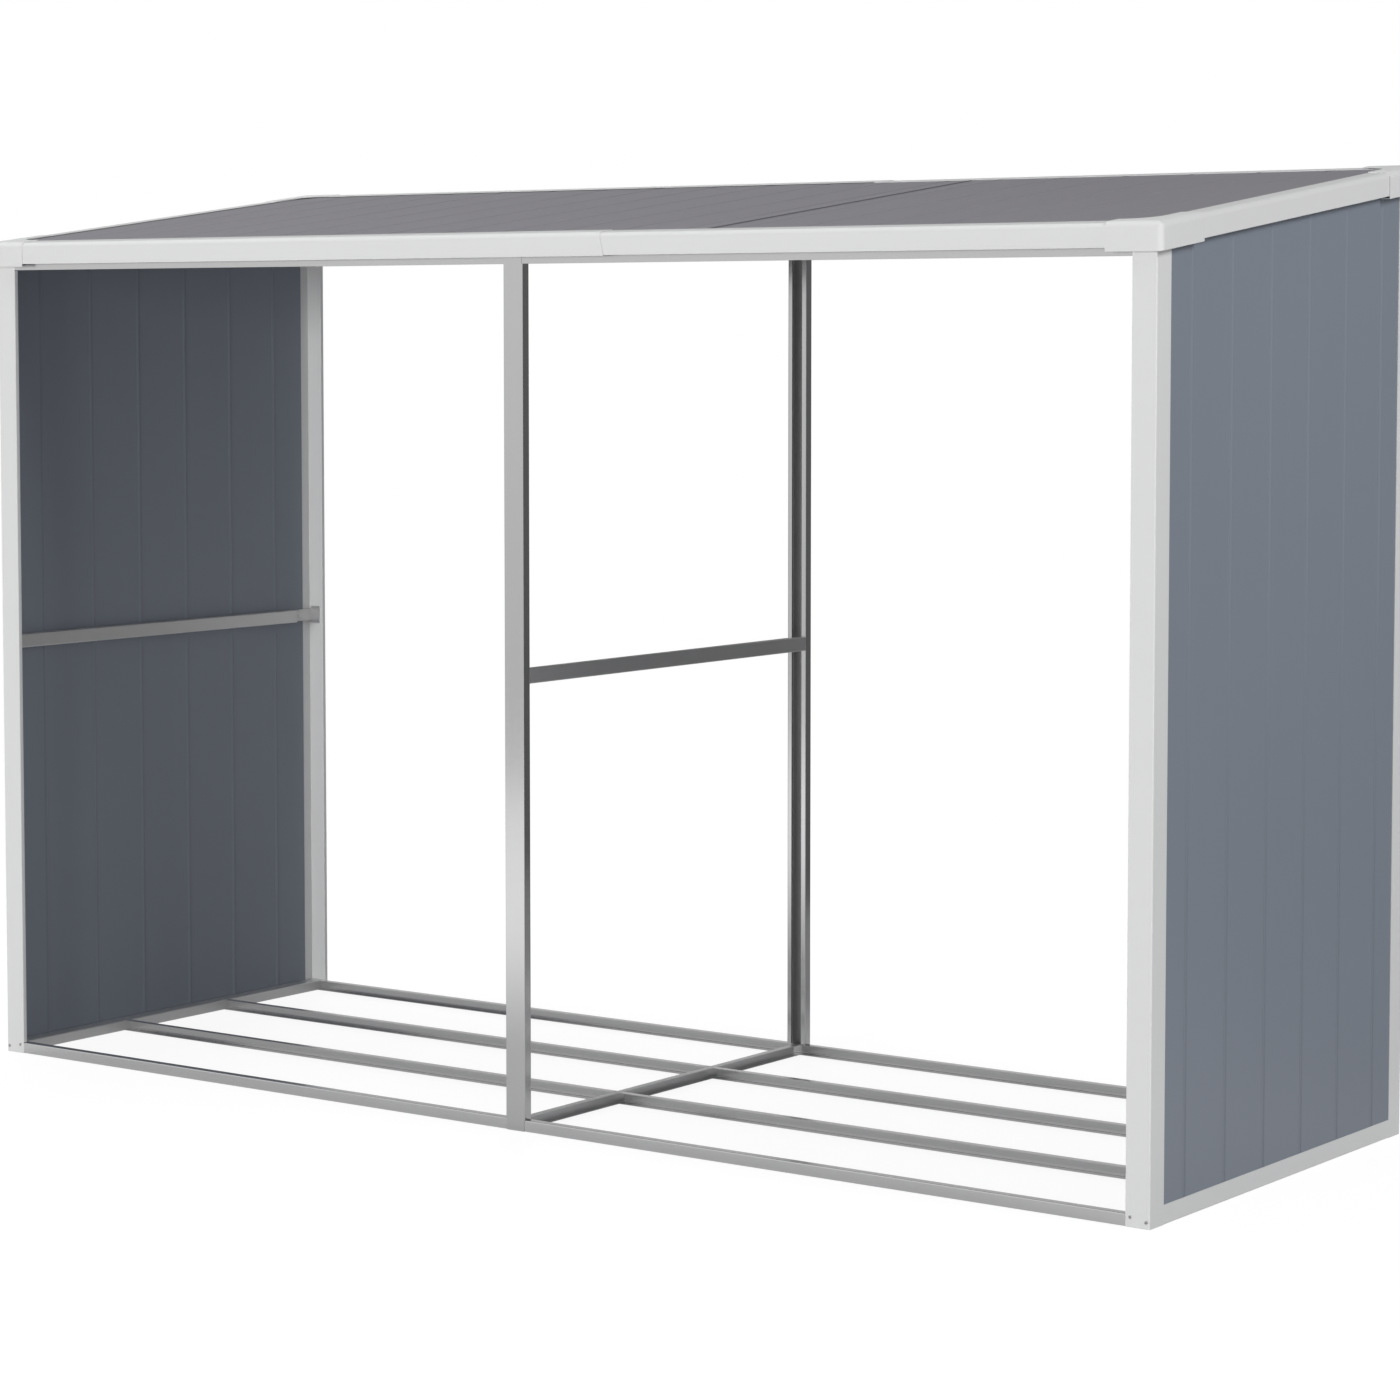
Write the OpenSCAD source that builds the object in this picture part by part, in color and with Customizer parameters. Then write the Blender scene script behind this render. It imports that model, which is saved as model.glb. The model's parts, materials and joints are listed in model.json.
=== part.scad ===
// Open log store with a lean-to roof. A floor frame of folded steel channels carries white
// corner posts, plain centre posts and ribbed sheet sides. The roof rises to the back, and
// its edging is joined by sleeves at the four corners.
// X runs to the right, Y to the back and Z up. The origin is on the ground, under the
// middle of the frame. All sizes are in millimetres.

/* [Store] */
// Width over the corner posts
store_w = 2400; // [1700:10:3000]
// Depth over the corner posts
store_d = 840; // [600:10:1200]
// Height of the roof edging at the front
front_h = 1484; // [1200:1:1900]
// Rise of the roof to the back, in degrees
roof_pitch = 7.3; // [3:0.1:12]

/* [Folded channels] */
// Wall of the channels
steel_t = 1; // [0.8:0.1:1.5]
// Inside radius of the folds
fold_in = 1; // [0.5:0.1:2]

/* [Floor frame] */
// Height of the floor rails and runners
rail_h = 19; // [15:0.5:30]
// Depth of the floor rails and runners
rail_d = 15; // [12:0.5:25]
// Width of the two side floor rails
side_rail_w = 27.5; // [15:0.5:40]
// Height of the trims along the foot of the sides
base_trim_h = 30; // [24:0.5:60]

/* [Posts] */
// Width of each leg of the corner posts
post_leg = 42; // [35:0.5:60]
// Wall of the corner posts
post_t = 1; // [0.8:0.1:1.5]
// Return along the free edge of the corner posts
post_return = 8; // [5:0.5:14]
// Clearance round the rails that pass behind the corner posts
notch_gap = 1; // [0.5:0.1:3]
// Width of the centre posts
centre_post_w = 40; // [30:0.5:60]
// Depth of the centre posts
centre_post_d = 18; // [12:0.5:30]
// Lips of the centre posts
centre_post_lip = 9; // [6:0.5:14]

/* [Mid rails] */
// Height of the mid rails' lower face
mid_rail_z = 745; // [400:1:1000]
// Height of the mid rails' section
mid_rail_h = 25; // [20:0.5:40]
// Depth of the mid rails' section
mid_rail_d = 16.5; // [10:0.5:20]
// Distance from the front posts' outer faces to the ends of the side mid rails
mid_rail_front = 26; // [20:1:90]
// Distance from the rear posts' outer faces to the ends of the side mid rails
mid_rail_rear = 59; // [50:1:90]
// Height of the brackets on the posts, at the ends of the side mid rails
bracket_h = 34; // [26:1:60]
// Length of the brackets along the rails
bracket_lap = 16; // [10:1:40]
// Width of the brackets on the posts
bracket_w = 24; // [12:0.5:26]

/* [Sheets] */
// Thickness of the side and roof sheets
sheet_t = 0.8; // [0.5:0.1:1]
// Depth of the roof sheets' ribs
roof_rib_h = 2.1; // [1.2:0.1:6]
// Width of the roof sheets' ribs at the foot
roof_rib_w = 13; // [10:1:24]
// Depth of the side sheets' ribs
side_rib_h = 1; // [0.6:0.1:4]
// Width of the side sheets' ribs at the foot
side_rib_w = 10; // [9:1:24]
// Width of all ribs at the crest
rib_top_w = 3; // [2:0.5:8]
// Distance from rib to rib
rib_pitch = 126; // [60:1:200]
// Distance from the posts' outer faces to the upright edges of the side sheets
panel_edge = 23; // [20:0.5:30]
// Distance from the posts' outer faces to the first rib of the roof
roof_rib_edge = 138; // [60:1:200]
// Place of the roof joint, from the middle to the right
seam_x = 355; // [-300:1:500]
// Reach of the upper roof sheet over the lower one
seam_lap = 14; // [8:1:30]
// Distance from the upper roof sheet's edge to the rise of the lower one
seam_gap = 8; // [2:0.5:15]

/* [Roof edging] */
// Reach of the edging beyond the posts
overhang = 15; // [10:0.5:40]
// Wall of the edging
trim_t = 0.8; // [0.5:0.1:1.5]
// Height of the edging's face
trim_h = 38; // [30:0.5:60]
// Depth of the edging's top flange
trim_d = 38; // [30:0.5:60]
// Radius of the edging's top fold
trim_r = 9; // [5:0.5:12]
// Place of the joints in the front and rear edging at the top, from the middle to the right
fascia_joint_x = 189; // [-500:1:600]
// Slant of those joints, in degrees
joint_slant = 13; // [0:1:20]
// Length of those joints
fascia_lap = 20; // [10:1:60]
// Play between two lengths of edging that slide together
lap_gap = 0.3; // [0.2:0.1:1]
// Distance from the corners to the ends of the edging, inside the corner caps
trim_end = 35; // [25:1:50]
// Gap between the edging's top fold and the roof sheets' edges
sheet_gap = 1; // [0.5:0.5:4]
// Drop of the top rails below the edging
top_rail_drop = 10.5; // [6:0.5:25]
// Wall of the corner caps
cap_t = 1.2; // [1:0.1:3]
// Play between the corner caps and the edging
cap_gap = 0.2; // [0.2:0.1:1]
// Drop of the corner caps below the edging, at the posts
cap_drop = 2.5; // [2:0.5:8]
// Length of the corner caps along the front and rear
cap_front = 95; // [70:1:150]
// Length of the corner caps along the sides
cap_side = 128; // [70:1:180]
// Radius of the corner caps' upright edge
cap_r = 10; // [4:0.5:16]
// Radius of the inner corner of the corner caps' top
cap_fillet = 45; // [10:1:60]

/* [Hidden] */
$fn = 48;

galvanised = "#a9adb0";
white_paint = "#dcdddb";
blue_grey_paint = "#737c86";
roof_paint = "#7b7c81";

// Outer faces of the corner posts
left_x = -store_w / 2;
right_x = store_w / 2;
front_y = -store_d / 2;
rear_y = store_d / 2;

// The side sheets lie against the inside of the posts, with their ribs turned inwards
panel_x = left_x + post_t;
panel_depth = sheet_t + side_rib_h;
inner_x = panel_x + panel_depth;
side_rail_x = inner_x + side_rail_w;
side_mid_x = inner_x + mid_rail_d;
fold_out = fold_in + steel_t;

// The rails stand behind the posts' front legs, and the runners share the space between them
rail_face = front_y + post_t;
rail_back = rail_face + rail_d;
runner_step = (-front_y - post_t - rail_back) / 3;

// The centre posts' faces are in line with the corner posts'
centre_back = front_y + centre_post_d;

// The roof sheets' ribs are turned down. One length of edging slides into the next, and the
// inner one lies on the sheets.
trim_step = trim_t + lap_gap;
left_end_x = left_x - overhang + trim_end;
roof_stack = sheet_t + roof_rib_h + trim_t + trim_step;
slope = tan(roof_pitch);

// The caps lie outside the edging and hang below it all round
cap_grow = cap_gap + cap_t;
cap_foot = trim_h + cap_drop + overhang * slope;

function edging_z(y) = front_h + (y - front_y + overhang) * slope;
function sheet_z(y) = edging_z(y) - roof_stack / cos(roof_pitch);

front_top_rail_z = front_h - trim_h - top_rail_drop;
rear_top_rail_z = edging_z(rear_y + overhang) - trim_h - top_rail_drop;

function reversed(list) = [for (i = [len(list) - 1 : -1 : 0]) list[i]];
function arc(centre, r, from, to, steps = 10) = [
    for (i = [0 : steps])
        let (turn = from + (to - from) * i / steps)
            centre + r * [cos(turn), sin(turn)]
];

// Crest and feet of each rib along a sheet, for a sheet that lies at height 0 with its ribs up
function ribs_along(centres, w, h) = [
    for (c = centres, p = [[-w, 0], [-rib_top_w, h], [rib_top_w, h], [w, 0]])
        [c + p.x / 2, p.y]
];

module along_x(x0, x1) {
    translate([x0, 0, 0]) rotate([90, 0, 90]) linear_extrude(x1 - x0) children();
}

module along_y(y0, y1) {
    translate([0, y1, 0]) rotate([90, 0, 0]) linear_extrude(y1 - y0) children();
}

module to_the_right() {
    mirror([1, 0, 0]) children();
}

module to_the_rear() {
    mirror([0, 1, 0]) children();
}

// The roof's own frame: Y along the slope from the front posts, Z square to the sheets
module on_roof() {
    translate([0, front_y, sheet_z(front_y)]) rotate([roof_pitch, 0, 0]) children();
}

function along_roof(y) = (y - front_y) / cos(roof_pitch);

module round_rect(w, h, r) {
    translate([r, 0]) square([w - 2 * r, h]);
    translate([0, r]) square([w, h - 2 * r]);
    for (x = [r, w - r], y = [r, h - r]) translate([x, y]) circle(r);
}

// Folded channel with its web along the Y axis, open towards +X, with or without lips
module channel(h, d, lip = 0) {
    full_d = lip > 0 ? d : d + 2 * fold_out;
    mouth_x = lip > 0 ? d - steel_t - fold_in : d;
    difference() {
        round_rect(full_d, h, fold_out);
        translate([steel_t, steel_t]) round_rect(full_d - 2 * steel_t, h - 2 * steel_t, fold_in);
        translate([mouth_x, lip]) square([full_d, h - 2 * lip]);
    }
}

// Folded angle with its outer corner at the origin
module angle(leg_x, leg_y, wall) {
    intersection() {
        difference() {
            round_rect(leg_x + leg_y, leg_x + leg_y, fold_in + wall);
            translate([wall, wall]) round_rect(leg_x + leg_y, leg_x + leg_y, fold_in);
        }
        square([leg_x, leg_y]);
    }
}

// Corner post: a front leg along X with a return at its free edge, and a plain side leg along Y
module post_section() {
    difference() {
        round_rect(post_leg, 2 * post_leg, fold_in + post_t);
        translate([post_t, post_t]) round_rect(post_leg - 2 * post_t, 2 * post_leg, fold_in);
        translate([post_leg / 2, post_return]) square(2 * post_leg);
        translate([-post_t, post_leg]) square(2 * post_leg);
    }
}

module corner_post(top_z, top_rail_z) {
    color(white_paint) difference() {
        translate([left_x, front_y, 0]) linear_extrude(top_z) post_section();
        translate([panel_x, rail_face, -notch_gap]) cube([post_leg, post_leg, rail_h + 2 * notch_gap]);
        translate([panel_x, rail_face, top_rail_z - notch_gap]) cube([post_leg, post_leg, top_z]);
    }
}

module floor_rail(start_x) {
    color(galvanised) along_x(start_x, -start_x) translate([rail_face, 0]) channel(rail_h, rail_d);
}

// Side floor rail from the front rail to the rear posts
module side_floor_rail() {
    color(galvanised) translate([side_rail_x, 0, 0]) to_the_right()
        along_y(rail_back, -rail_face) channel(rail_h, side_rail_w);
}

// Runner of the left bay, open to the front
module runner(row) {
    color(galvanised) translate([0, rail_back + row * runner_step, 0]) to_the_rear()
        along_x(side_rail_x, -rail_d / 2) channel(rail_h, rail_d);
}

// The right bay's runners meet the open side of the centre rail and are as long as the left ones
module right_runner(row) {
    translate([rail_d / 2 - side_rail_x, 0, 0]) runner(row);
}

// Angle that covers the foot of a side sheet and turns in below it
module base_trim() {
    color(white_paint) along_y(front_y + post_leg, rear_y - post_leg)
        translate([left_x, 0]) angle(post_t + panel_depth, base_trim_h, post_t);
}

// Lipped channel between the floor rail and the top rail, whose web laps over the faces of both
module centre_post(top_z) {
    color(galvanised) translate([centre_post_w / 2, front_y, 0]) rotate([0, 0, 90]) {
        translate([0, 0, rail_h]) linear_extrude(top_z - rail_h)
            channel(centre_post_w, centre_post_d, centre_post_lip);
        translate([0, fold_out, 0]) cube([steel_t, centre_post_w - 2 * fold_out, top_z + rail_h]);
    }
}

module side_mid_rail() {
    color(galvanised) translate([side_mid_x, 0, mid_rail_z]) to_the_right()
        along_y(front_y + mid_rail_front, rear_y - mid_rail_rear) channel(mid_rail_h, mid_rail_d);
}

// Angle bracket that is held between a side mid rail's flanges and spreads on the front post's
// leg. Its arm spans the distance from the post's outer face to the rail's end.
module mid_rail_bracket(distance) {
    arm_h = mid_rail_h - 2 * steel_t;
    color(galvanised) translate([inner_x + steel_t, rail_face, mid_rail_z + mid_rail_h / 2]) {
        translate([0, 0, -arm_h / 2]) linear_extrude(arm_h)
            angle(bracket_w, distance - post_t + bracket_lap, steel_t);
        translate([fold_out, 0, -bracket_h / 2]) cube([bracket_w - fold_out, steel_t, bracket_h]);
    }
}

module side_panel() {
    ribs = floor((store_d - 2 * post_leg) / rib_pitch);
    centres = [for (i = [0 : ribs - 1]) (i - (ribs - 1) / 2) * rib_pitch];
    half = store_d / 2 - panel_edge;
    foot = post_t + fold_in;
    path = concat([[-half, 0]], ribs_along(centres, side_rib_w, side_rib_h), [[half, 0]]);
    color(blue_grey_paint) intersection() {
        translate([panel_x, 0, 0]) rotate([0, 0, -90]) linear_extrude(2 * front_h) folded_sheet(path);
        along_x(left_x, inner_x)
            polygon([[-half, foot], [half, foot], [half, sheet_z(half)], [-half, sheet_z(-half)]]);
    }
}

// Sheet of even thickness that follows a path, below which it rests
module folded_sheet(path) {
    polygon(concat(path, reversed([for (p = path) p + [0, sheet_t]])));
}

// Channel below the roof's front edge, with its upper flange folded to the slope
module top_rail(low_z, face_z, rise) {
    flange = steel_t * sqrt(1 + rise * rise);
    color(galvanised) along_x(panel_x, -panel_x) translate([rail_face, 0]) polygon([
        [0, low_z], [rail_d, low_z], [rail_d, low_z + steel_t], [steel_t, low_z + steel_t],
        [steel_t, face_z + steel_t * rise - flange], [rail_d, face_z + rail_d * rise - flange],
        [rail_d, face_z + rail_d * rise], [0, face_z]
    ]);
}

// Roof sheet up to the edging's folds, from a path that is drawn with its ribs up
module roof_sheet(path) {
    reach = overhang - trim_r - sheet_gap;
    color(roof_paint) on_roof() along_y(along_roof(front_y - reach), along_roof(rear_y + reach))
        folded_sheet([for (p = path) [p.x, roof_rib_h - p.y]]);
}

// Line over the edging, from the foot of its face to the edge of its top flange. X runs
// inwards from the face and Y up, from the corner where the face meets the roof's plane.
// Pitch is the rise of the flange and grow the distance of the line outside the edging.
function edging_line(pitch, foot, grow, reach) = concat(
    [[-grow, foot]],
    arc([trim_r, trim_r * tan(pitch) - trim_r / cos(pitch)], trim_r + grow, 180, 90 + pitch),
    [[reach, reach * tan(pitch) + grow / cos(pitch)]]
);

module edging_section(pitch, face_h, grow) {
    foot = -face_h - grow;
    polygon(concat(
        [[overhang, foot]],
        edging_line(pitch, foot, grow, trim_d),
        reversed(edging_line(pitch, foot + trim_t, grow - trim_t, trim_d)),
        [[overhang, foot + trim_t]]
    ));
}

// The edging's outer line, filled inwards
module edging_block(pitch, foot, grow, reach) {
    polygon(concat(edging_line(pitch, foot, grow, reach), [[reach, foot]]));
}

module at_front_edge() {
    translate([0, front_y - overhang, front_h]) children();
}

module at_rear_edge() {
    translate([0, rear_y + overhang, edging_z(rear_y + overhang)]) to_the_rear() children();
}

module at_left_edge() {
    on_roof() translate([left_x - overhang, 0, roof_stack]) children();
}

// Left corner cap: a moulded sleeve round the corner, with both top folds mitred. Its first
// child is the outer block and its second the hollow, each as the end edging bounds it.
module corner_cap() {
    color(white_paint) intersection() {
        difference() {
            intersection() {
                children(0);
                cap_side_block(cap_grow, cap_foot);
                upright() cap_outline(cap_grow, cap_r);
            }
            intersection() {
                children(1);
                cap_side_block(cap_gap, cap_foot - cap_t);
                upright() cap_outline(cap_gap, cap_r - cap_t);
            }
            below_roof();
        }
        upright() union() {
            cap_plan();
            to_the_rear() cap_plan();
        }
    }
}

module upright() {
    linear_extrude(2 * edging_z(rear_y)) children();
}

// Left end of the roof in plan, with both corners rounded
module cap_outline(grow, r) {
    translate([left_x - overhang - grow, front_y - overhang - grow])
        round_rect(2 * cap_front, store_d + 2 * (overhang + grow), r);
}

module cap_end_block(pitch, grow) {
    along_x(left_x - overhang - cap_front, left_x + cap_front)
        edging_block(pitch, -2 * cap_foot, grow, 2 * cap_side);
}

module cap_side_block(grow, foot) {
    at_left_edge() along_y(along_roof(front_y - cap_side), along_roof(rear_y + cap_side))
        edging_block(0, -foot * cos(roof_pitch), grow, 2 * cap_front);
}

// Plan of a front cap: two legs as wide as the edging's flange, with a filleted corner between them
module cap_plan() {
    leg = trim_d + cap_grow;
    fillet_end = leg + cap_fillet;
    translate([left_x - overhang - cap_grow, front_y - overhang - cap_grow]) {
        square([cap_front, leg]);
        square([leg, cap_side]);
        difference() {
            square(fillet_end);
            translate([fillet_end, fillet_end]) circle(cap_fillet);
        }
    }
}

// The room between the posts, up to the edging's foot
module below_roof() {
    along_x(left_x, right_x) polygon([
        [front_y, 0], [rear_y, 0],
        [rear_y, edging_z(rear_y) - trim_h], [front_y, edging_z(front_y) - trim_h]
    ]);
}

module front_cap() {
    corner_cap() {
        at_front_edge() cap_end_block(roof_pitch, cap_grow);
        at_front_edge() cap_end_block(roof_pitch, cap_gap);
    }
}

module rear_cap() {
    corner_cap() {
        at_rear_edge() cap_end_block(-roof_pitch, cap_grow);
        at_rear_edge() cap_end_block(-roof_pitch, cap_gap);
    }
}

module verge_trim() {
    end_y = rear_y + overhang - trim_end;
    color(white_paint) at_left_edge()
        along_y(along_roof(-end_y), along_roof(end_y)) edging_section(0, trim_h * cos(roof_pitch), 0);
}

// The front floor rail covers the ends of the side ones, and the rear one lies between them
module front_base_rail() { floor_rail(panel_x); }
module rear_base_rail() { to_the_rear() floor_rail(side_rail_x); }
module left_base_rail() { side_floor_rail(); }
module right_base_rail() { to_the_right() side_floor_rail(); }

// Rail between the two bays, open to the right
module centre_base_rail() {
    color(galvanised) translate([-rail_d / 2, 0, 0])
        along_y(rail_back, -rail_back) channel(rail_h, rail_d);
}

module left_front_runner() { runner(1); }
module left_rear_runner() { runner(2); }
module right_front_runner() { right_runner(1); }
module right_rear_runner() { right_runner(2); }

module left_base_trim() { base_trim(); }
module right_base_trim() { to_the_right() base_trim(); }

module front_left_post() { corner_post(sheet_z(front_y), front_top_rail_z); }
module front_right_post() { to_the_right() front_left_post(); }
module rear_left_post() { to_the_rear() corner_post(sheet_z(rear_y - post_leg), rear_top_rail_z); }
module rear_right_post() { to_the_right() rear_left_post(); }

module front_centre_post() { centre_post(front_top_rail_z); }
module rear_centre_post() { to_the_rear() centre_post(rear_top_rail_z); }

module left_mid_rail() { side_mid_rail(); }
module right_mid_rail() { to_the_right() side_mid_rail(); }

// Rail between the lips of the two centre posts, with its web in line with their right faces
module centre_mid_rail() {
    color(galvanised) translate([centre_post_w / 2, 0, mid_rail_z]) to_the_right()
        along_y(centre_back, -centre_back) channel(mid_rail_h, mid_rail_d);
}

module left_front_bracket() { mid_rail_bracket(mid_rail_front); }
module left_rear_bracket() { to_the_rear() mid_rail_bracket(mid_rail_rear); }
module right_front_bracket() { to_the_right() left_front_bracket(); }
module right_rear_bracket() { to_the_right() left_rear_bracket(); }

module left_side_panel() { side_panel(); }
module right_side_panel() { to_the_right() side_panel(); }

module front_top_rail() { top_rail(front_top_rail_z, sheet_z(rail_face), slope); }
module rear_top_rail() { to_the_rear() top_rail(rear_top_rail_z, sheet_z(-rail_face), -slope); }

module left_roof_sheet() {
    edge = left_x - overhang + trim_r + sheet_gap;
    centres = [for (x = [left_x + roof_rib_edge : rib_pitch : seam_x - roof_rib_w]) x];
    roof_sheet(concat(
        [[edge, 0]],
        ribs_along(centres, roof_rib_w, roof_rib_h),
        [[seam_x + seam_lap, 0]]
    ));
}

// The right sheet starts with a step as deep as a rib, over which the edge of the left one lies
module right_roof_sheet() {
    edge = right_x + overhang - trim_r - sheet_gap;
    step_end = seam_x + seam_lap + seam_gap;
    step_top = step_end + (roof_rib_w - rib_top_w) / 2;
    centres = [for (x = [right_x - roof_rib_edge : -rib_pitch : step_end + 2 * roof_rib_w]) x];
    roof_sheet(concat(
        [[seam_x, roof_rib_h], [step_end, roof_rib_h], [step_top, 0]],
        ribs_along(reversed(centres), roof_rib_w, roof_rib_h),
        [[edge, 0]]
    ));
}

// The right lengths of the front and rear edging slide into the left ones, whose ends are slanted
module left_fascia(pitch) {
    above = 2 * trim_h;
    slant = above * tan(joint_slant);
    color(white_paint) intersection() {
        along_x(left_end_x, fascia_joint_x + slant) edging_section(pitch, trim_h, 0);
        along_y(-above, above) polygon([
            [left_end_x, -above], [fascia_joint_x + slant, -above],
            [fascia_joint_x - slant, above], [left_end_x, above]
        ]);
    }
}

module right_fascia(pitch) {
    color(white_paint)
        along_x(fascia_joint_x - fascia_lap, -left_end_x) edging_section(pitch, trim_h, -trim_step);
}

module front_left_fascia() { at_front_edge() left_fascia(roof_pitch); }
module front_right_fascia() { at_front_edge() right_fascia(roof_pitch); }
module rear_left_fascia() { at_rear_edge() left_fascia(-roof_pitch); }
module rear_right_fascia() { at_rear_edge() right_fascia(-roof_pitch); }

module left_verge_trim() { verge_trim(); }
module right_verge_trim() { to_the_right() verge_trim(); }

module front_left_cap() { front_cap(); }
module front_right_cap() { to_the_right() front_cap(); }
module rear_left_cap() { rear_cap(); }
module rear_right_cap() { to_the_right() rear_cap(); }

front_base_rail();
rear_base_rail();
left_base_rail();
right_base_rail();
centre_base_rail();
left_front_runner();
left_rear_runner();
right_front_runner();
right_rear_runner();
left_base_trim();
right_base_trim();
front_left_post();
front_right_post();
rear_left_post();
rear_right_post();
front_centre_post();
rear_centre_post();
left_mid_rail();
right_mid_rail();
centre_mid_rail();
left_front_bracket();
left_rear_bracket();
right_front_bracket();
right_rear_bracket();
left_side_panel();
right_side_panel();
front_top_rail();
rear_top_rail();
left_roof_sheet();
right_roof_sheet();
front_left_fascia();
front_right_fascia();
rear_left_fascia();
rear_right_fascia();
left_verge_trim();
right_verge_trim();
front_left_cap();
front_right_cap();
rear_left_cap();
rear_right_cap();
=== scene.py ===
"""Looks of the open log store: finishes, foot screws, studio and camera. Metres throughout."""
import json
import math

import bmesh
import bpy
from mathutils import Matrix, Vector


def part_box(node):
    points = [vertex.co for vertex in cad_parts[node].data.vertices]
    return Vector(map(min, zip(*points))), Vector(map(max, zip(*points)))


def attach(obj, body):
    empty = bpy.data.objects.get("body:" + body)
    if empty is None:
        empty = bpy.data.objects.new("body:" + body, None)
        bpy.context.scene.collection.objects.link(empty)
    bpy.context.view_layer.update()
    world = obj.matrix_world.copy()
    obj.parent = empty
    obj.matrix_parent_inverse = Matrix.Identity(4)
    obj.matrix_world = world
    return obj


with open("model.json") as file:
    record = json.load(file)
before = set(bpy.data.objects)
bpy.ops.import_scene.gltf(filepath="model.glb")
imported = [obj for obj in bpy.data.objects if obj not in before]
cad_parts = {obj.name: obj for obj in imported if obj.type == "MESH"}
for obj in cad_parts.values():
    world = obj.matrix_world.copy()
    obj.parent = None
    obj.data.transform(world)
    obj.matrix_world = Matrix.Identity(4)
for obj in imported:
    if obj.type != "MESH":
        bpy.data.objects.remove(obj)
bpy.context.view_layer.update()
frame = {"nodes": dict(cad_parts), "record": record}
nodes = frame["nodes"]
slot_of = {part["node"]: part["material_slot"] for part in frame["record"]["subparts"]}

X, Y, Z = range(3)

# Camera, fitted to the three vanishing directions of the view
CAMERA_PLACE = (3.9295, -5.3122, 1.3276)
CAMERA_TURN = (86.13, 0.0, 35.97)
CAMERA_LENS = 98.14
CAMERA_SENSOR = 36.0
CAMERA_SHIFT_Y = -0.08
CAMERA_CLIP = (0.1, 200.0)

# Linear colours of the finishes, each as a light and a shaded tone
ZINC = ((0.722, 0.722, 0.722), (0.664, 0.664, 0.668))
SCREW_ZINC = ((0.58, 0.58, 0.58), (0.44, 0.44, 0.45))
WHITE = ((0.770, 0.772, 0.765), (0.745, 0.748, 0.745))
PANEL = ((0.230, 0.258, 0.304), (0.218, 0.245, 0.289))
ROOF = ((0.251, 0.243, 0.268), (0.236, 0.229, 0.253))
CAP = ((0.765, 0.767, 0.760), (0.740, 0.743, 0.738))

# Galvanised pieces that run along X, Y and Z, and the painted shade (darker tone) and added roughness inside
# their folds
ZINC_ROUGHNESS = (0.18, 0.30, 0.10)
ZINC_METALLIC = (0.9, 0.78, 1.0)
FOLD_PAINTED_SHADE = (0.94, 1.0, 0.75)
FOLD_ROUGHNESS = (0.0, 0.0, 0.5)

# How near a wall has to be for a place to count as inside a fold, and how open the inside and outside are
FOLD_REACH = 0.03
FOLD_OPEN = (0.55, 0.9)
FOLD_SAMPLES = 8

# Rolling streaks, spangle and dull patches of the zinc, with scales in waves a metre
ROLLING_ACROSS = 300.0
ROLLING_ALONG = 2.0
ROLLING_DEPTH = 0.000003
ROLLING_TONE = (0.0, 0.3)
ROLLING_ROUGHNESS = 0.04
SPANGLE_SCALE = 110.0
SPANGLE_TONE = (0.0, 0.1)
SPANGLE_ROUGHNESS = 0.02
PATCH_SCALE = 5.0
PATCH_TONE = (0.1, 0.6)
PATCH_ROUGHNESS = 0.03

# Paint: orange peel, slow drift of tone, and streaks along the ribs of sheets
WHITE_ROUGHNESS = 0.38
PANEL_ROUGHNESS = 0.44
ROOF_ROUGHNESS = 0.42
PEEL_SCALE = 520.0
PEEL_DEPTH = 0.00002
PEEL_ROUGHNESS = 0.02
DRIFT_SCALE = 2.2
DRIFT_TONE = (0.1, 0.9)
DRIFT_ROUGHNESS = 0.03
STREAK_ACROSS = 38.0
STREAK_ALONG = 0.7
STREAK_SHARE = 0.5

# Painted light and shade on the side sheets' rib flanks: painted shade inside, and outside from painted
# shade low down to a painted highlight higher up
RIB_INSIDE = 0.9
RIB_OUTSIDE = (0.87, 1.06)
RIB_RISE_Z = (0.45, 1.0)

# Square of the normal's Y from flat sheet to flank, and X times the normal's X from inside to outside
RIB_SLOPE = (0.02, 0.06)
RIB_OUTWARD = (-0.1, 0.1)

# Plastic of the corner caps
MOULD_SCALE = 1400.0
MOULD_DEPTH = 0.00002
MOULD_ROUGHNESS = (0.44, 0.54)
CAP_DRIFT_SCALE = 9.0
CAP_DRIFT_ROUGHNESS = 0.02

# Foot screws: head, cross slot, and places from a post's outer corner, along its leg and up
SCREW_R = 0.0027
SCREW_H = 0.0012
SCREW_SIDES = 24
SCREW_PROFILE = ((1.0, 0.0), (1.0, 0.45), (0.93, 0.78), (0.74, 1.0))
SLOT_HALF_LENGTH = 0.0015
SLOT_HALF_WIDTH = 0.00045
SLOT_DEPTH = 0.0007
SCREW_PLACES = ((0.0060, 0.0104), (0.0334, 0.0152))
SCREWED_POSTS = ("front_left_post", "front_right_post", "rear_left_post", "rear_right_post")
MOTTLE_SCALE = 900.0
MOTTLE_DEPTH = 0.00001
MOTTLE_ROUGHNESS = (0.3, 0.42)

# Floor as it lights the store, and as the eye sees it, fading to white between two radii
FLOOR_HALF = 40.0
FLOOR_DROP = 0.0005
FLOOR_MATT = 0.5
SEEN_MATT = 0.15
SEEN_GLOW = 0.90
SEEN_R = (1.6, 3.6)

# Floor as bare steel mirrors it, in front of the store and behind it
MIRRORED_MATT = 0.42
MIRRORED_GLOW = 0.23
MIRRORED_R = (1.0, 2.6)
MIRRORED_BACK_MATT = 0.3
MIRRORED_BACK_Y = (0.3, 1.0)

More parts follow.
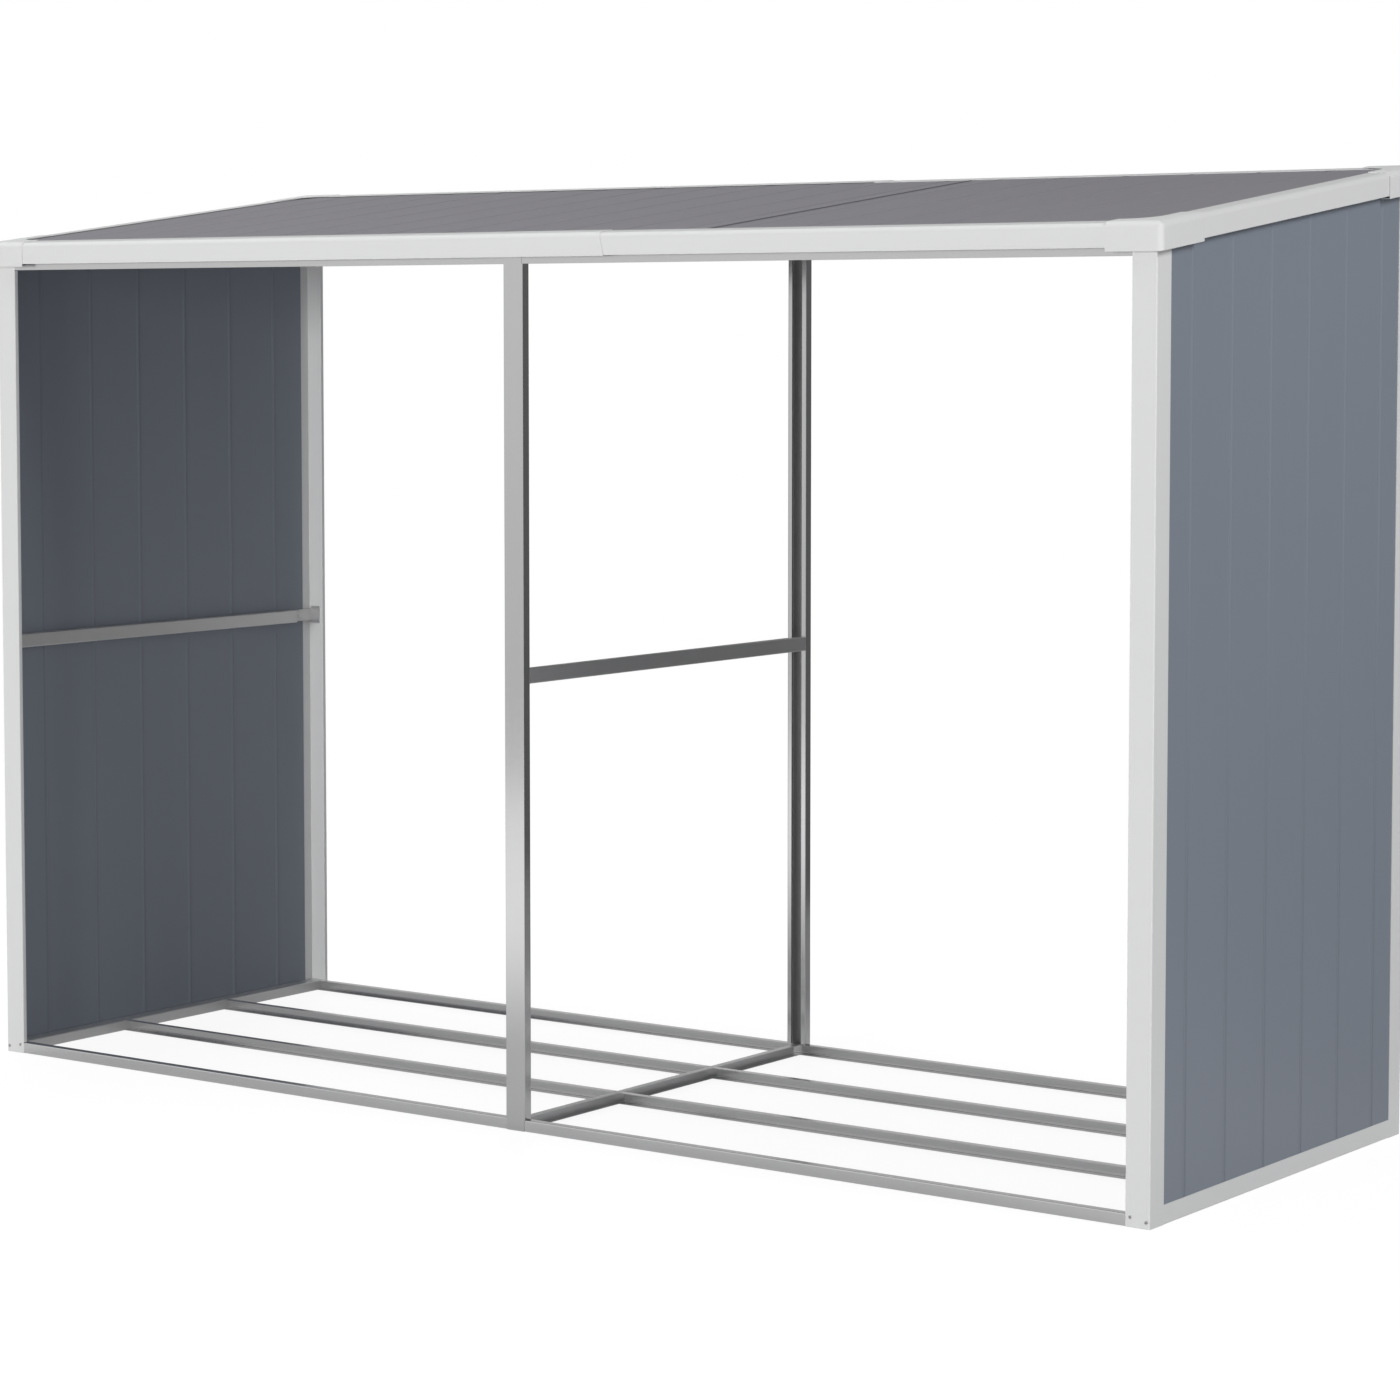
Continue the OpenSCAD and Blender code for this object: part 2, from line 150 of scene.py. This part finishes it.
# Ring of boards, cut flat behind the store: its tones in front and behind, and their factor from low to high
BOARD_R = 5.1
BOARD_BACK_Y = 1.9
BOARD_H = 4.2
BOARD_STEPS = 96
BOARD_TONES = (0.62, 0.11)
BOARD_TURN_Y = (-1.5, 1.5)
BOARD_RISE = (0.93, 1.15)
BOARD_RISE_Z = (0.0, 1.6)

# Low pale board behind the store
LOW_BOARD_X = (-4.0, 0.4)
LOW_BOARD_Y = 1.85
LOW_BOARD_H = 1.0
LOW_BOARD_TONE = 0.55

# Light from all round, and lamps with their name, place, side length and watts
AMBIENT = 0.32
AMBIENT_TONE = (0.96, 0.97, 1.0)
LAMPS = (
    ("key", (0.1, -9.5, 1.7), 2.4, 450.0),
    ("side", (6.4, -0.3, 4.2), 2.2, 200.0),
    ("top", (-2.8, 0.0, 4.4), 4.0, 76.0),
    ("back", (-4.5, 6.0, 3.0), 3.0, 230.0),
)
LAMP_AIM = Vector((0.0, 0.0, 0.8))


class Tree:
    """Short way to add and link the nodes of one node tree."""

    def __init__(self, tree):
        self.tree = tree
        tree.nodes.clear()

    def add(self, kind, inputs=None, **settings):
        """New node with its settings and inputs."""
        node = self.tree.nodes.new(kind)
        for name, value in settings.items():
            setattr(node, name, value)
        for name, value in (inputs or {}).items():
            self.put(node.inputs[name], value)
        return node

    def put(self, socket, value):
        """Links another node's output to a socket, or sets the socket's own value."""
        if isinstance(value, bpy.types.NodeSocket):
            self.tree.links.new(value, socket)
        elif socket.type == "RGBA":
            socket.default_value = (*value, 1.0)
        else:
            socket.default_value = value

    def place(self):
        """Object coordinates."""
        return self.add("ShaderNodeTexCoord").outputs["Object"]

    def along(self, axis, across, lengthwise):
        """Object coordinates, scaled one way along an axis and another way across it."""
        scale = [across, across, across]
        scale[axis] = lengthwise
        return self.add("ShaderNodeMapping", {"Vector": self.place(), "Scale": scale}).outputs["Vector"]

    def parts(self, vector):
        """X, Y and Z of a vector."""
        return self.add("ShaderNodeSeparateXYZ", {"Vector": vector}).outputs

    def noise(self, vector, scale=1.0, detail=3.0, roughness=0.5):
        """Noise from 0 to 1."""
        inputs = {"Vector": vector, "Scale": scale, "Detail": detail, "Roughness": roughness}
        return self.add("ShaderNodeTexNoise", inputs).outputs["Fac"]

    def fit(self, value, low, high, start=0.0, end=1.0, kind="LINEAR"):
        """Value moved from the range start to end into the range low to high."""
        inputs = {"Value": value, "From Min": start, "From Max": end, "To Min": low, "To Max": high}
        return self.add("ShaderNodeMapRange", inputs, interpolation_type=kind).outputs["Result"]

    def fade(self, value, start, end):
        """Smooth rise from 0 to 1 as the value goes from start to end."""
        return self.fit(value, 0.0, 1.0, start, end, kind="SMOOTHSTEP")

    def join(self, operation, *terms):
        """All terms under one operation, such as their sum."""
        total = terms[0]
        for term in terms[1:]:
            total = self.add("ShaderNodeMath", {0: total, 1: term}, operation=operation).outputs[0]
        return total

    def blend(self, factor, tones):
        """Colour between the shaded tone, where the factor is 0, and the light one, where it is 1."""
        light, shade = tones
        node = self.add("ShaderNodeMix", data_type="RGBA")
        self.put(node.inputs["Factor"], factor)
        self.put(node.inputs["A"], shade)
        self.put(node.inputs["B"], light)
        return node.outputs["Result"]

    def dim(self, colour, factor):
        """Colour times a factor."""
        return self.add("ShaderNodeVectorMath", {0: colour, "Scale": factor}, operation="SCALE").outputs[0]

    def matt(self, grey):
        """Shader of a matt grey surface."""
        return self.add("ShaderNodeBsdfDiffuse", {"Color": (grey, grey, grey)}).outputs[0]

    def glow(self, strength):
        """Shader of a white glow."""
        return self.add("ShaderNodeEmission", {"Strength": strength}).outputs[0]

    def lifted(self, grey, strength):
        """Matt surface that also glows, so that its shadows stay pale."""
        return self.add("ShaderNodeAddShader", {0: self.matt(grey), 1: self.glow(strength)}).outputs[0]

    def pick(self, factor, first, second):
        """First shader where the factor is 0, second where it is 1."""
        return self.add("ShaderNodeMixShader", {0: factor, 1: first, 2: second}).outputs[0]


def new_material(name):
    material = bpy.data.materials.new(name)
    material.use_nodes = True
    return material, Tree(material.node_tree)


def new_object(name, data):
    """Object in the scene's own collection."""
    item = bpy.data.objects.new(name, data)
    bpy.context.scene.collection.objects.link(item)
    return item


def close_surface(tree, colour, roughness, height, bump_depth, metallic=0.0):
    """Principled surface with a bump."""
    bump = tree.add("ShaderNodeBump", {"Height": height, "Distance": bump_depth, "Strength": 1.0})
    inputs = {"Base Color": colour, "Roughness": roughness, "Normal": bump.outputs["Normal"],
              "Metallic": metallic}
    shader = tree.add("ShaderNodeBsdfPrincipled", inputs)
    tree.add("ShaderNodeOutputMaterial", {"Surface": shader.outputs["BSDF"]})


def galvanised(axis):
    """Smooth zinc-coated strip: rolling streaks along the piece, spangle, dull patches, and folds that are
    rougher and darkened with painted shade.
    """
    material, tree = new_material("galvanised_" + "xyz"[axis])
    streaks = tree.noise(tree.along(axis, ROLLING_ACROSS, ROLLING_ALONG))
    cells = tree.add("ShaderNodeTexVoronoi", {"Vector": tree.place(), "Scale": SPANGLE_SCALE})
    spangle = tree.add("ShaderNodeSeparateColor", {"Color": cells.outputs["Color"]}).outputs["Red"]
    patches = tree.noise(tree.place(), PATCH_SCALE)
    openness = tree.add("ShaderNodeAmbientOcclusion", {"Distance": FOLD_REACH}, samples=FOLD_SAMPLES,
                        only_local=True)
    outside = tree.fade(openness.outputs["AO"], *FOLD_OPEN)
    tone = tree.join("ADD", tree.fit(streaks, *ROLLING_TONE), tree.fit(spangle, *SPANGLE_TONE),
                     tree.fit(patches, *PATCH_TONE))
    # Painted shade: the colour is darkened inside folds, where the occlusion finds walls near by
    colour = tree.dim(tree.blend(tone, ZINC), tree.fit(outside, FOLD_PAINTED_SHADE[axis], 1.0))
    smooth = ZINC_ROUGHNESS[axis]
    roughness = tree.join("ADD", tree.fit(streaks, smooth, smooth + ROLLING_ROUGHNESS),
                          tree.fit(spangle, 0.0, SPANGLE_ROUGHNESS), tree.fit(patches, 0.0, PATCH_ROUGHNESS),
                          tree.fit(outside, FOLD_ROUGHNESS[axis], 0.0))
    close_surface(tree, colour, roughness, streaks, ROLLING_DEPTH, ZINC_METALLIC[axis])
    return material


def rib_painted_shading(tree):
    """Factor on the flanks of the side sheets' ribs: painted shade low down, a painted highlight higher up,
    and painted shade inside.
    """
    geometry = tree.add("ShaderNodeNewGeometry").outputs
    facing = tree.parts(geometry["Normal"])
    place = tree.parts(geometry["Position"])
    outside = tree.fit(place["Z"], *RIB_OUTSIDE, *RIB_RISE_Z)
    outward = tree.join("MULTIPLY", place["X"], facing["X"])
    # Painted shade where the factor is below 1, painted highlight where it is above 1
    flank_shade = tree.fit(outward, RIB_INSIDE, outside, *RIB_OUTWARD)
    return tree.fit(tree.join("MULTIPLY", facing["Y"], facing["Y"]), 1.0, flank_shade, *RIB_SLOPE)


def painted(name, tones, roughness, streak_axis=None, flank_shading_of=None):
    """Baked paint: orange peel, slow drift of tone and, on sheets, faint streaks along the ribs."""
    material, tree = new_material(name)
    peel = tree.noise(tree.place(), PEEL_SCALE, detail=2.0)
    drift = tree.noise(tree.place(), DRIFT_SCALE, detail=4.0, roughness=0.6)
    if streak_axis is None:
        tone = tree.fit(drift, *DRIFT_TONE)
    else:
        lengthwise = tree.along(streak_axis, STREAK_ACROSS, STREAK_ALONG)
        streaks = tree.noise(lengthwise, detail=5.0, roughness=0.65)
        tone = tree.join("ADD", tree.fit(drift, 0.0, 1.0 - STREAK_SHARE),
                         tree.fit(streaks, 0.0, STREAK_SHARE))
    colour = tree.blend(tone, tones)
    # Painted light and shade on the rib flanks, where a factor for it is given
    if flank_shading_of is not None:
        colour = tree.dim(colour, flank_shading_of(tree))
    gloss = tree.join("ADD", tree.fit(drift, roughness - DRIFT_ROUGHNESS, roughness + DRIFT_ROUGHNESS),
                      tree.fit(peel, -PEEL_ROUGHNESS, PEEL_ROUGHNESS))
    close_surface(tree, colour, gloss, peel, PEEL_DEPTH)
    return material


def moulded(name, tones):
    """Moulded plastic with a fine eroded grain."""
    material, tree = new_material(name)
    grain = tree.noise(tree.place(), MOULD_SCALE, roughness=0.6)
    drift = tree.noise(tree.place(), CAP_DRIFT_SCALE)
    gloss = tree.join("ADD", tree.fit(grain, *MOULD_ROUGHNESS),
                      tree.fit(drift, -CAP_DRIFT_ROUGHNESS, CAP_DRIFT_ROUGHNESS))
    close_surface(tree, tree.blend(drift, tones), gloss, grain, MOULD_DEPTH)
    return material


def screw_zinc():
    """Dulled zinc of the foot screws."""
    material, tree = new_material("screw_zinc")
    mottle = tree.noise(tree.place(), MOTTLE_SCALE, detail=2.0)
    roughness = tree.fit(mottle, *MOTTLE_ROUGHNESS)
    close_surface(tree, tree.blend(mottle, SCREW_ZINC), roughness, mottle, MOTTLE_DEPTH, metallic=1.0)
    return material


def run_of(node):
    """Axis along which a node is longest."""
    low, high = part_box(node)
    size = high - low
    return max((X, Y, Z), key=lambda axis: size[axis])


def dress_frame():
    """Gives every carried-over node the finish of its slot."""
    steel = [galvanised(axis) for axis in (X, Y, Z)]
    plain = {
        "white_paint": painted("white_paint", WHITE, WHITE_ROUGHNESS),
        "panel_paint": painted("panel_paint", PANEL, PANEL_ROUGHNESS, streak_axis=Z, flank_shading_of=rib_painted_shading),
        "roof_paint": painted("roof_paint", ROOF, ROOF_ROUGHNESS, streak_axis=Y),
        "cap_plastic": moulded("cap_plastic", CAP),
    }
    for name, node in nodes.items():
        slot = slot_of[name]
        material = steel[run_of(name)] if slot == "galvanised" else plain[slot]
        node.data.materials.clear()
        node.data.materials.append(material)


def circle(steps):
    """Angles at equal steps round a circle."""
    return [2 * math.pi * step / steps for step in range(steps)]


def ring(mesh, points):
    """Closed loop of vertices and edges."""
    vertices = [mesh.verts.new(point) for point in points]
    edges = [mesh.edges.new((a, b)) for a, b in zip(vertices, vertices[1:] + vertices[:1])]
    return vertices, edges


def bridge(mesh, lower, upper):
    """Quads between two loops with the same number of vertices."""
    for i in range(len(lower)):
        j = (i + 1) % len(lower)
        mesh.faces.new((lower[i], lower[j], upper[j], upper[i]))


def slot_outline():
    """Cross in the plane of a screw's head, as points (x, z)."""
    arm = ((SLOT_HALF_LENGTH, -SLOT_HALF_WIDTH), (SLOT_HALF_LENGTH, SLOT_HALF_WIDTH),
           (SLOT_HALF_WIDTH, SLOT_HALF_WIDTH))
    outline = []
    for quarter in circle(4):
        spin = Matrix.Rotation(quarter, 2)
        outline += [spin @ Vector(point) for point in arm]
    return outline


def screw_mesh():
    """Pan-head screw that points along -Y from the plane Y = 0, with a cross slot in its head."""
    mesh = bmesh.new()
    loops = []
    for radius_share, height_share in SCREW_PROFILE:
        radius = SCREW_R * radius_share
        y = -SCREW_H * height_share
        points = [(radius * math.cos(turn), y, radius * math.sin(turn)) for turn in circle(SCREW_SIDES)]
        loops.append(ring(mesh, points))
    for (lower, _), (upper, _) in zip(loops, loops[1:]):
        bridge(mesh, lower, upper)
    seat, _ = loops[0]
    mesh.faces.new(seat)
    _, top_edges = loops[-1]
    cross = slot_outline()
    rim, rim_edges = ring(mesh, [(x, -SCREW_H, z) for x, z in cross])
    floor, _ = ring(mesh, [(x, SLOT_DEPTH - SCREW_H, z) for x, z in cross])
    bmesh.ops.triangle_fill(mesh, edges=top_edges + rim_edges, use_beauty=True)
    bridge(mesh, rim, floor)
    mesh.faces.new(floor)
    bmesh.ops.recalc_face_normals(mesh, faces=mesh.faces)
    data = bpy.data.meshes.new("screw")
    mesh.to_mesh(data)
    mesh.free()
    data.materials.append(screw_zinc())
    return data


def add_foot_screws():
    """Two screws at the foot of each corner post, through its leg into the floor rail."""
    data = screw_mesh()
    for name in SCREWED_POSTS:
        low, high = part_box(name)
        front = name.startswith("front")
        y = low.y if front else high.y
        turn = Matrix.Rotation(0.0 if front else math.pi, 4, "Z")
        for number, (along, up) in enumerate(SCREW_PLACES, start=1):
            x = low.x + along if "left" in name else high.x - along
            piece = new_object(f"{name}_screw_{number}", data)
            piece.matrix_world = Matrix.Translation((x, y, up)) @ turn
            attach(piece, "root")


def floor_material():
    """Pale to the eye, with the store's shadow near it; greyer where bare steel mirrors it."""
    material, tree = new_material("floor_white")
    place = tree.place()
    distance = tree.add("ShaderNodeVectorMath", {0: place}, operation="LENGTH").outputs["Value"]
    behind = tree.fade(tree.parts(place)["Y"], *MIRRORED_BACK_Y)
    white = tree.glow(1.0)
    seen = tree.pick(tree.fade(distance, *SEEN_R), tree.lifted(SEEN_MATT, SEEN_GLOW), white)
    mirrored_front = tree.pick(tree.fade(distance, *MIRRORED_R), tree.lifted(MIRRORED_MATT, MIRRORED_GLOW),
                               white)
    mirrored = tree.pick(behind, mirrored_front, tree.matt(MIRRORED_BACK_MATT))
    path = tree.add("ShaderNodeLightPath").outputs
    eye = tree.join("MAXIMUM", path["Is Camera Ray"], path["Is Transmission Ray"])
    unseen = tree.pick(path["Is Glossy Ray"], tree.matt(FLOOR_MATT), mirrored)
    tree.add("ShaderNodeOutputMaterial", {"Surface": tree.pick(eye, unseen, seen)})
    return material


def add_floor():
    """Square floor just under the store."""
    data = bpy.data.meshes.new("floor")
    corners = ((-1, -1), (1, -1), (1, 1), (-1, 1))
    points = [(x * FLOOR_HALF, y * FLOOR_HALF, -FLOOR_DROP) for x, y in corners]
    data.from_pydata(points, [], [(0, 1, 2, 3)])
    data.materials.append(floor_material())
    floor = new_object("floor", data)


def add_board(name, plan, height, tone_of):
    """Upright glowing board over a line in plan. Only reflections see it."""
    mesh = bmesh.new()
    foot = [mesh.verts.new((x, y, 0.0)) for x, y in plan]
    head = [mesh.verts.new((x, y, height)) for x, y in plan]
    for i in range(len(plan) - 1):
        mesh.faces.new((foot[i], foot[i + 1], head[i + 1], head[i]))
    data = bpy.data.meshes.new(name)
    mesh.to_mesh(data)
    mesh.free()
    material, tree = new_material(name)
    tree.add("ShaderNodeOutputMaterial", {"Surface": tree.glow(tone_of(tree))})
    data.materials.append(material)
    board = new_object(name, data)
    board.visible_camera = False
    board.visible_diffuse = False
    board.visible_shadow = False
    board.visible_transmission = False


def ring_tone(tree):
    """Tone of the ring of boards: pale in front and dark behind, and paler higher up."""
    place = tree.parts(tree.place())
    tone = tree.fit(place["Y"], *BOARD_TONES, *BOARD_TURN_Y, kind="SMOOTHSTEP")
    return tree.join("MULTIPLY", tone, tree.fit(place["Z"], *BOARD_RISE, *BOARD_RISE_Z))


def low_tone(tree):
    """Tone of the low board: the same all over, so it needs no nodes."""
    return LOW_BOARD_TONE


def add_reflection_boards():
    """Grey boards all round and a low pale one behind, so that bare steel has light and dark sides."""
    turns = circle(BOARD_STEPS) + [2 * math.pi]
    ring_plan = [(BOARD_R * math.cos(turn), min(BOARD_R * math.sin(turn), BOARD_BACK_Y)) for turn in turns]
    add_board("board_ring", ring_plan, BOARD_H, ring_tone)
    low_plan = [(x, LOW_BOARD_Y) for x in LOW_BOARD_X]
    add_board("board_low", low_plan, LOW_BOARD_H, low_tone)


def add_surroundings():
    """White to the eye and to reflections, and soft as a light."""
    world = bpy.data.worlds.new("studio")
    bpy.context.scene.world = world
    world.use_nodes = True
    tree = Tree(world.node_tree)
    soft = tree.add("ShaderNodeBackground", {"Color": AMBIENT_TONE, "Strength": AMBIENT})
    white = tree.add("ShaderNodeBackground", {"Color": (1.0, 1.0, 1.0), "Strength": 1.0})
    path = tree.add("ShaderNodeLightPath").outputs
    shown = tree.join("MAXIMUM", path["Is Camera Ray"], path["Is Glossy Ray"], path["Is Transmission Ray"])
    surface = tree.pick(shown, soft.outputs[0], white.outputs[0])
    tree.add("ShaderNodeOutputWorld", {"Surface": surface})


def add_lamps():
    """Lamps in front, on the right, above the left and behind. Reflections see the boards instead."""
    for name, place, side, watts in LAMPS:
        lamp = bpy.data.lights.new(name, "AREA")
        lamp.shape = "SQUARE"
        lamp.size = side
        lamp.energy = watts
        holder = new_object(name, lamp)
        holder.location = place
        holder.rotation_euler = (LAMP_AIM - Vector(place)).to_track_quat("-Z", "Y").to_euler()
        holder.visible_glossy = False


def add_camera():
    data = bpy.data.cameras.new("camera")
    data.sensor_width = CAMERA_SENSOR
    data.lens = CAMERA_LENS
    data.shift_y = CAMERA_SHIFT_Y
    data.clip_start, data.clip_end = CAMERA_CLIP
    camera = new_object("camera", data)
    camera.location = CAMERA_PLACE
    camera.rotation_euler = [math.radians(turn) for turn in CAMERA_TURN]
    bpy.context.scene.camera = camera


add_camera()
dress_frame()
add_foot_screws()
add_floor()
add_reflection_boards()
add_surroundings()
add_lamps()
bpy.context.scene.view_settings.view_transform = "Standard"
